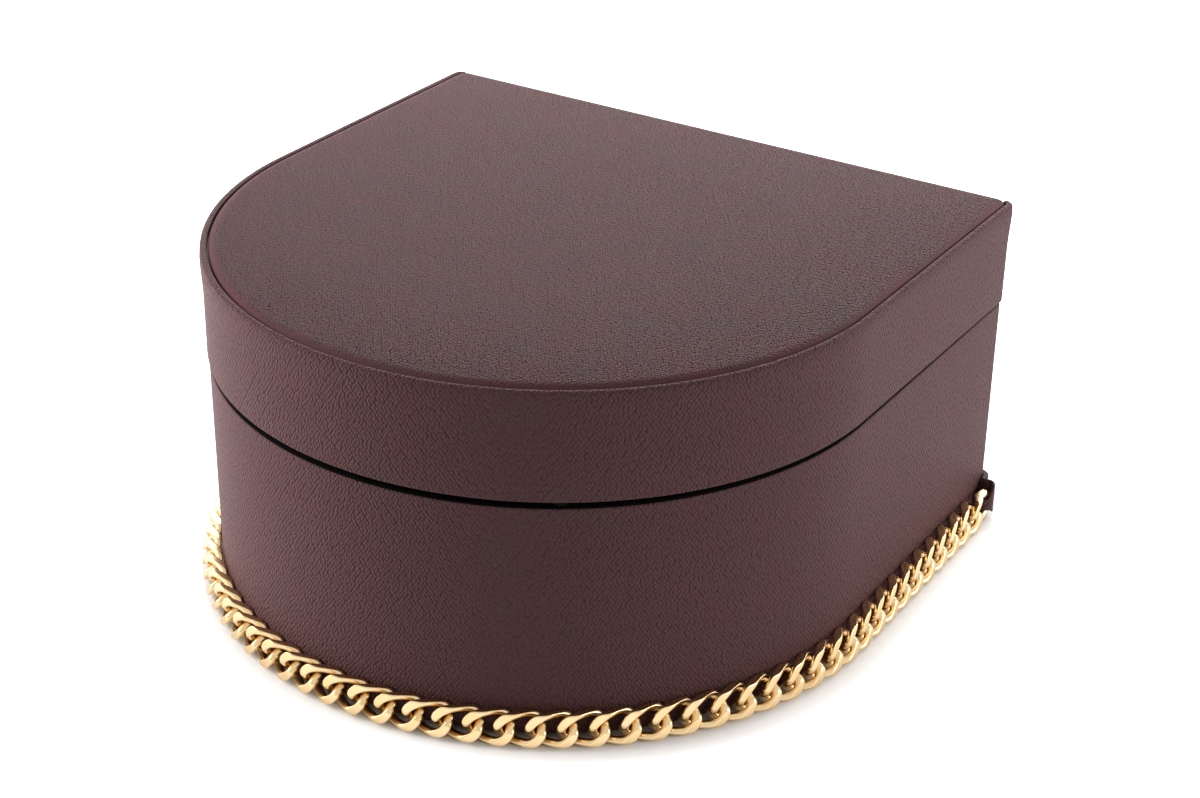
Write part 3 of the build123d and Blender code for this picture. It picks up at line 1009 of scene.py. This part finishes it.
def eased(value, limit, blend):
    """A value held inside a limit, with the last stretch to it eased."""
    reach = abs(value)
    share = held(0.5 + 0.5 * (limit - reach) / blend)
    return math.copysign(limit + (reach - limit) * share - blend * share * (1 - share), value)


def signed_power(value, power):
    """A power of a number's size, with the number's sign."""
    return math.copysign(abs(value) ** power, value)


def link_mesh(left_twist, right_twist):
    """One link: a ring of wire, drawn to a full oval, twisted, and ground flat on four sides."""
    size = chain_sizes()
    gap = size.slit / LINK_RING
    opening = Matrix.Rotation(-(LINK_SLIT_AT + gap / 2), 3, "Y")
    bm = bmesh.new()
    wire = bmesh.ops.create_circle(bm, segments=WIRE_SIDES, radius=size.wire / 2)["verts"]
    bmesh.ops.translate(bm, verts=wire, vec=(LINK_RING, 0, 0))
    bmesh.ops.rotate(bm, verts=wire, cent=(0, 0, 0), matrix=opening)
    turn(bm, list(bm.edges), (0, 0, 0), WHOLE_TURN - gap, LINK_STATIONS, axis=(0, -1, 0))
    close_shell(bm)
    for vert in bm.verts:
        bearing = math.atan2(vert.co.z, vert.co.x)
        thickness = math.hypot(vert.co.x, vert.co.z) - LINK_RING
        along = signed_power(math.cos(bearing), 2 / size.fullness)
        across = signed_power(math.sin(bearing), 2 / size.fullness)
        slope_x = signed_power(along, size.fullness - 1) / size.half_length
        slope_z = signed_power(across, size.fullness - 1) / size.half_width
        place = Vector((along * size.half_length, vert.co.y, across * size.half_width))
        place += Vector((slope_x, 0, slope_z)).normalized() * thickness
        twist = right_twist if place.x > 0 else left_twist
        place = Matrix.Rotation(-twist * place.x / size.half_length, 3, "X") @ place
        vert.co = (place.x, eased(place.y, size.face, size.polish), eased(place.z, size.edge, size.polish))
    soften(bm, LINK_SHARP)
    return mesh_from(bm, "link")


def chain_place(number):
    """Where a link stands on the chain's run, counted from the middle of the front."""
    size = chain_sizes()
    distance = number * size.pitch
    bearing = held(distance / size.radius, -math.pi / 2, math.pi / 2)
    straight = max(0.0, abs(distance) - size.radius * math.pi / 2)
    spot = (size.radius * math.sin(bearing), straight - size.radius * math.cos(bearing), size.level)
    return Matrix.Translation(spot) @ Matrix.Rotation(bearing, 4, "Z")


class LayChain(bpy.types.Operator):
    """Lays the curb chain round the foot of the wall"""

    bl_idname = "keepsake.lay_chain"
    bl_label = "Lay the chain"

    def execute(self, context):
        size = chain_sizes()
        lean = Matrix.Rotation(-size.lean, 4, "X")
        link = link_mesh(size.twist, size.twist)
        bm = bmesh.new()
        for number in range(1 - size.each_way, size.each_way):
            add_copy(bm, link, chain_place(number) @ lean)
        piece_from(bm, "gold_chain", "base", ["Gold"], ["chain_links"])
        first = link_mesh(0.0, size.twist)
        last = link_mesh(size.twist, 0.0)
        ends = bmesh.new()
        add_copy(ends, first, chain_place(-size.each_way))
        add_copy(ends, last, chain_place(size.each_way))
        piece_from(ends, "gold_end_links", "base", ["Gold"], ["chain_end_links"])
        for mesh in (link, first, last):
            bpy.data.meshes.remove(mesh)
        return {"FINISHED"}


def rounded_bar(bm, corners, rounding):
    """The edges of an outline through corners, with the corners rounded."""
    before = set(bm.edges)
    verts = [bm.verts.new(corner) for corner in corners]
    bm.faces.new(verts)
    round_corners(bm, verts, rounding, BAR_ROUND_STEPS)
    made = [edge for edge in bm.edges if edge not in before]
    faces = list({face for edge in made for face in edge.link_faces})
    bmesh.ops.delete(bm, geom=faces, context="FACES_ONLY")
    return made


class FixTabs(bpy.types.Operator):
    """Folds the leather tabs that hold the chain's ends, with their stitches and screws"""

    bl_idname = "keepsake.fix_tabs"
    bl_label = "Fix the tabs"

    def back_end(self):
        """Where the right strap ends on the back, and where its face is."""
        size = sizes()
        face = size.side_length - size.setback + TAB_CLEARANCE + 2 * size.leather
        return size.lid_width / 2 - size.corner - TAB_LENGTH, face

    def strap(self):
        """The right tab: a strap on the back corner and a loop round the end link's wire."""
        size = sizes()
        chain = chain_sizes()
        end, face = self.back_end()
        back = face - 2 * size.leather
        low, high = TAB_LIFT, TAB_LIFT + TAB_HEIGHT
        corner_y = size.side_length - size.corner
        eye_y = chain.each_way * chain.pitch + chain.half_length - chain.radius * math.pi / 2
        shoulder = eye_y + TAB_EYE + TAB_SHOULDER_GAP
        bm = bmesh.new()
        corners = [(end, y, z) for y, z in ((back, low), (face, low), (face, high), (back, high))]
        edges = rounded_bar(bm, corners, TAB_ROUND)
        edges = run(bm, edges, (TAB_LENGTH, 0, 0), STRAP_STEPS)
        edges = turn(bm, edges, (end + TAB_LENGTH, corner_y, 0), math.pi / 2, STRAP_CORNER_STEPS)
        edges = run(bm, edges, (0, shoulder - corner_y, 0), 3)
        edges = run(bm, edges, (0, -TAB_SHOULDER, 0), 1)
        for vert in {vert for edge in edges for vert in edge.verts}:
            vert.co.z = chain.level + (vert.co.z - (low + high) / 2) * TAB_TONGUE / TAB_HEIGHT
        run(bm, edges, (0, eye_y + TAB_OVERLAP - shoulder + TAB_SHOULDER, 0), 1)
        self.add_loop(bm, eye_y)
        bmesh.ops.remove_doubles(bm, verts=bm.verts, dist=FINE_MERGE)
        close_shell(bm)
        return bm

    def add_loop(self, bm, eye_y):
        """The right tab's loop, whose outside is nearly as high as the strap."""
        chain = chain_sizes()
        half = TAB_TONGUE / 2
        inner = chain.radius + TAB_EYE
        outer = inner + sizes().leather
        outline = ((inner, -half), (outer, -half), (outer, half), (inner, half))
        before = set(bm.verts)
        ring = rounded_bar(bm, [(x, eye_y, chain.level + z) for x, z in outline], LOOP_ROUND)
        turn(bm, ring, (chain.radius, eye_y, 0), WHOLE_TURN, LOOP_STEPS)
        closing, closed = LOOP_CLOSES
        for vert in set(bm.verts) - before:
            bearing = math.degrees(math.atan2(vert.co.y - eye_y, vert.co.x - chain.radius))
            above = vert.co.z > chain.level
            start, full = LOOP_TOP_OPENS if above else LOOP_FOOT_OPENS
            limit = TAB_LIFT + (TAB_HEIGHT if above else LOOP_FOOT)
            share = held(min((bearing - start) / (full - start), (closed - bearing) / (closed - closing)))
            vert.co.z += (vert.co.z - chain.level) * (abs(limit - chain.level) / half - 1) * share

    def stitches(self):
        """Two rows of thread along the right strap's run on the back."""
        end, face = self.back_end()
        slant = Matrix.Rotation(STITCH_SLANT, 3, "Y")
        bm = bmesh.new()
        for level in (TAB_LIFT + STITCH_MARGIN, TAB_LIFT + TAB_HEIGHT - STITCH_MARGIN):
            for number in range(STITCHES):
                spot = (end + STITCH_START + number * STITCH_PITCH, face, level)
                stitch = bmesh.ops.create_icosphere(bm, subdivisions=2, radius=1.0)["verts"]
                bmesh.ops.scale(bm, verts=stitch, vec=STITCH_SIZE)
                bmesh.ops.rotate(bm, verts=stitch, cent=(0, 0, 0), matrix=slant)
                bmesh.ops.translate(bm, verts=stitch, vec=spot)
        return bm

    def screw(self):
        """The right tab's screw head, domed and slotted."""
        end, face = self.back_end()
        bm = bmesh.new()
        verts = [bm.verts.new((across * MM, out * MM, 0)) for across, out in SCREW_OUTLINE]
        edges = [bm.edges.new(pair) for pair in zip(verts, verts[1:])]
        turn(bm, edges, (0, 0, 0), WHOLE_TURN, SCREW_SIDES, axis=(0, 1, 0))
        bmesh.ops.remove_doubles(bm, verts=bm.verts, dist=FINE_MERGE)
        close_shell(bm)
        slot = bmesh.new()
        block(slot, SLOT_SIZE, (0, SLOT_LEVEL, 0))
        slant = Matrix.Rotation(SLOT_TURN, 3, "Y")
        bmesh.ops.rotate(slot, verts=slot.verts, cent=(0, 0, 0), matrix=slant)
        bm = cut_away(bm, slot)
        spot = (end + SCREW_INSET, face, TAB_LIFT + TAB_HEIGHT / 2)
        bmesh.ops.translate(bm, verts=bm.verts, vec=spot)
        return bm

    def execute(self, context):
        for side in ("right", "left"):
            strap = self.strap()
            stitches = self.stitches()
            for bm in (strap, stitches):
                if side == "left":
                    bmesh.ops.transform(bm, matrix=MIRROR, verts=bm.verts)
                bmesh.ops.recalc_face_normals(bm, faces=bm.faces)
                soften(bm)
            lay_grain(strap)
            for face in strap.faces:
                face.material_index = 1 if abs(face.normal.z) > TAB_CUT or len(face.verts) > 4 else 0
            piece_from(strap, "tab_strap_" + side, "base", PAINTED_LEATHER, ["chain_tab_" + side])
            piece_from(stitches, "tab_stitches_" + side, "base", ["Thread"], [])
        screw = mesh_from(self.screw(), "screw")
        heads = bmesh.new()
        for place in (Matrix.Identity(4), MIRROR):
            add_copy(heads, screw, place)
        bpy.data.meshes.remove(screw)
        bmesh.ops.recalc_face_normals(heads, faces=heads.faces)
        soften(heads, METAL_SHARP)
        piece_from(heads, "tab_screw_heads", "base", ["Brass"], ["tab_screws"])
        return {"FINISHED"}


class FitHardware(bpy.types.Operator):
    """Finishes the hinges, their pins and screws, and the rubber bumpers"""

    bl_idname = "keepsake.fit_hardware"
    bl_label = "Fit the hardware"

    def execute(self, context):
        for body, solids in BRASS_SOLIDS.items():
            for solid in solids:
                polished_copy(solid, body, "Brass")
        polished_copy("rim_bumpers", "base", "Rubber")
        return {"FINISHED"}


class FinishBoards(bpy.types.Operator):
    """Gives the boards and the underside their finishes"""

    bl_idname = "keepsake.finish_boards"
    bl_label = "Finish the boards"

    def execute(self, context):
        finishes = dict.fromkeys(BOARDS, "Plywood") | {"underside_cover": "Underside cloth"}
        for solid, material in finishes.items():
            materials = frame["nodes"][solid].data.materials
            materials.clear()
            materials.append(material_named(material))
        return {"FINISHED"}


def lamp(name, spot, width, height, power):
    """A soft rectangular lamp that faces the box."""
    data = bpy.data.lights.new(name, "AREA")
    data.shape = "RECTANGLE"
    data.size = width
    data.size_y = height
    data.energy = power
    made = placed(name, data)
    made.location = spot
    made.rotation_euler = (LIT_POINT - Vector(spot)).to_track_quat("-Z", "Y").to_euler()
    return made


class SetStage(bpy.types.Operator):
    """Sets the floor, the lamps, the surroundings and the camera"""

    bl_idname = "keepsake.set_stage"
    bl_label = "Set the stage"

    def distance(self, tree):
        """How far a place on the floor lies from the middle of the box, as its plan goes round."""
        axes = node(tree, "SeparateXYZ", {"Vector": object_space(tree)}).outputs
        ahead = maths(tree, "MINIMUM", axes["Y"], 0.0)
        squares = maths(tree, "ADD", maths(tree, "POWER", axes["X"], 2.0), maths(tree, "POWER", ahead, 2.0))
        return maths(tree, "MAXIMUM", maths(tree, "SQRT", squares), axes["Y"])

    def lay_floor(self, studio):
        """A white floor, whose shadows show near the chain only."""
        bm = bmesh.new()
        bmesh.ops.create_grid(bm, x_segments=8, y_segments=8, size=FLOOR_REACH)
        bmesh.ops.translate(bm, verts=bm.verts, vec=(0, 0, -FLOOR_DROP))
        floor = placed("floor", mesh_from(bm, "floor"))
        matt = {"Base Color": (*studio.floor, 1.0), "Roughness": 0.9, "Specular IOR Level": 0.1}
        material, tree, shader = new_material("Floor", matt)
        away = self.distance(tree)
        lift = ranged(tree, away, studio.lift_from, studio.lift_full, 0.0, studio.floor_lift)
        glow = node(tree, "Emission", {"Strength": maths(tree, "MULTIPLY", seen_rays(tree), lift)})
        both = node(tree, "AddShader", {0: shader.outputs["BSDF"], 1: glow.outputs["Emission"]})
        tree.links.new(both.outputs["Shader"], tree.nodes["Material Output"].inputs["Surface"])
        floor.data.materials.append(material)

    def hang_lamps(self, studio):
        """Lamps behind, above and on both sides. Metal mirrors one part of the left one alone."""
        left = (-1.15, -0.45, 0.46)
        lamp("back_lamp", (-0.1, 0.36, 0.21), 1.0, 0.1, studio.back_light)
        lamp("top_lamp", (-0.1, 0.38, 0.42), 1.0, 0.2, studio.top_light)
        lamp("left_lamp", left, 1.0, 0.8, studio.left_light)
        lamp("left_fill", left, 1.0, 0.8, studio.left_fill).visible_glossy = False
        lamp("right_lamp", (1.2, 0.35, 0.4), 0.8, 0.6, studio.right_light)

    def surround(self, studio):
        """Surroundings that are white where the camera sees them and dim where they light."""
        world = bpy.data.worlds.new("Studio")
        world.use_nodes = True
        tree = world.node_tree
        tree.nodes.clear()
        ambient = node(tree, "Background", {"Color": WHITE, "Strength": studio.ambient})
        white = node(tree, "Background", {"Color": WHITE, "Strength": 1.0})
        inputs = {0: seen_rays(tree), 1: ambient.outputs[0], 2: white.outputs[0]}
        mixed = node(tree, "MixShader", inputs)
        node(tree, "OutputWorld", {"Surface": mixed.outputs[0]})
        return world

    def set_camera(self, studio):
        """The photograph's camera."""
        data = bpy.data.cameras.new("camera")
        data.sensor_fit = "HORIZONTAL"
        data.sensor_width = 36.0
        data.lens = studio.lens
        camera = placed("camera", data)
        flat = math.cos(studio.elevation)
        sine, cosine = math.sin(studio.azimuth), math.cos(studio.azimuth)
        away = Vector((sine * flat, -cosine * flat, math.sin(studio.elevation)))
        right = Vector((cosine, sine, 0))
        across = right * math.cos(studio.roll) + away.cross(right) * math.sin(studio.roll)
        facing = Matrix((across, away.cross(across), away)).transposed().to_4x4()
        camera.matrix_world = Matrix.Translation(Vector(studio.target) + away * studio.distance) @ facing
        return camera

    def execute(self, context):
        studio = context.scene.keepsake_studio
        self.lay_floor(studio)
        self.hang_lamps(studio)
        context.scene.world = self.surround(studio)
        context.scene.camera = self.set_camera(studio)
        context.scene.view_settings.view_transform = "Standard"
        return {"FINISHED"}


GROUPS = {
    "keepsake_sizes": BoxSizes,
    "keepsake_chain": ChainSizes,
    "keepsake_finish": BoxFinish,
    "keepsake_studio": StudioSettings,
}
STEPS = (
    WrapBase,
    WrapLid,
    PadLid,
    LineInside,
    PadFloor,
    LayChain,
    FixTabs,
    FitHardware,
    FinishBoards,
    SetStage,
)


class KeepsakePanel(bpy.types.Panel):
    """Lists the settings and the steps"""

    bl_idname = "VIEW3D_PT_keepsake"
    bl_label = "Keepsake box"
    bl_space_type = "VIEW_3D"
    bl_region_type = "UI"
    bl_category = "Keepsake box"

    def draw(self, context):
        for name in GROUPS:
            group = getattr(context.scene, name)
            box = self.layout.box()
            for setting in group.bl_rna.properties.keys():
                if setting not in ("rna_type", "name"):
                    box.prop(group, setting)
        for step in STEPS:
            self.layout.operator(step.bl_idname)


CLASSES = (*GROUPS.values(), *STEPS, KeepsakePanel)


def register():
    for kind in CLASSES:
        bpy.utils.register_class(kind)
    for name, kind in GROUPS.items():
        setattr(bpy.types.Scene, name, bpy.props.PointerProperty(type=kind))


def unregister():
    for name in GROUPS:
        delattr(bpy.types.Scene, name)
    for kind in reversed(CLASSES):
        bpy.utils.unregister_class(kind)


def main():
    register()
    bpy.ops.keepsake.wrap_base()
    bpy.ops.keepsake.wrap_lid()
    bpy.ops.keepsake.pad_lid()
    bpy.ops.keepsake.line_inside()
    bpy.ops.keepsake.pad_floor()
    bpy.ops.keepsake.lay_chain()
    bpy.ops.keepsake.fix_tabs()
    bpy.ops.keepsake.fit_hardware()
    bpy.ops.keepsake.finish_boards()
    bpy.ops.keepsake.set_stage()


if __name__ == "__main__":
    main()
